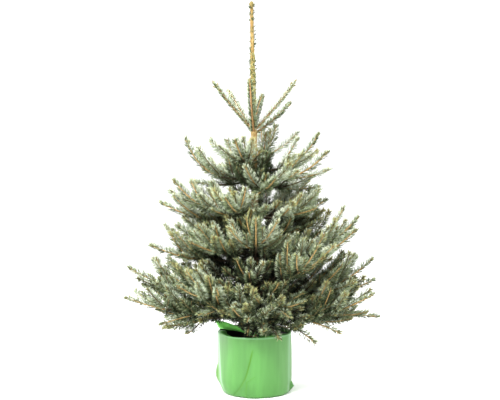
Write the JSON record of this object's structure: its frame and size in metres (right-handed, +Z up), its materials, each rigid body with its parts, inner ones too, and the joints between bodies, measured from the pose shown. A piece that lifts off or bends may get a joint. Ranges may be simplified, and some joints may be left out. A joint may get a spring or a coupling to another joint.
{
  "type": "potted blue spruce",
  "caption": "Young blue spruce with whorls of needled boughs and a bare leader, in a nursery pot wrapped in green film.",
  "frame": {"origin": "centre of the flat underside of the wrapped pot, on the ground", "axes": "+Z up along the trunk, -Y towards the side the wrap's crease is on, +X to the right of that side"},
  "size_m": [0.8128, 0.6791, 1.268],
  "materials": {
    "film": "satin",
    "pot": "matte",
    "soil": "matte",
    "bark": "matte",
    "limb": "matte",
    "needles": "matte"
  },
  "bodies": {
    "root": {"base_bough_1": "limb", "base_bough_2": "limb", "base_bough_3": "limb", "base_bough_4": "limb", "base_bough_5": "limb", "base_mass_1": "needles", "base_mass_2": "needles", "base_mass_3": "needles", "base_mass_4": "needles", "base_mass_5": "needles", "crown_mass_1": "needles", "crown_mass_2": "needles", "crown_mass_3": "needles", "crown_mass_4": "needles", "crown_mass_5": "needles", "crown_mass_6": "needles", "crown_mass_7": "needles", "crown_mass_8": "needles", "film_wrap": "film", "lower_bough_1": "limb", "lower_bough_2": "limb", "lower_bough_3": "limb", "lower_bough_4": "limb", "lower_bough_5": "limb", "lower_bough_6": "limb", "lower_bough_7": "limb", "lower_mass_1": "needles", "lower_mass_2": "needles", "lower_mass_3": "needles", "lower_mass_4": "needles", "lower_mass_5": "needles", "lower_mass_6": "needles", "lower_mass_7": "needles", "middle_mass_1": "needles", "middle_mass_2": "needles", "middle_mass_3": "needles", "middle_mass_4": "needles", "middle_mass_5": "needles", "middle_mass_6": "needles", "middle_mass_7": "needles", "middle_mass_8": "needles", "middle_mass_9": "needles", "nursery_pot": "pot", "potting_soil": "soil", "top_mass_1": "needles", "top_mass_2": "needles", "top_mass_3": "needles", "top_mass_4": "needles", "top_mass_5": "needles", "top_mass_6": "needles", "trunk": "bark", "upper_mass_1": "needles", "upper_mass_2": "needles", "upper_mass_3": "needles", "upper_mass_4": "needles", "upper_mass_5": "needles", "upper_mass_6": "needles", "upper_mass_7": "needles", "upper_mass_8": "needles", "upper_mass_9": "needles"}
  },
  "joints": []
}
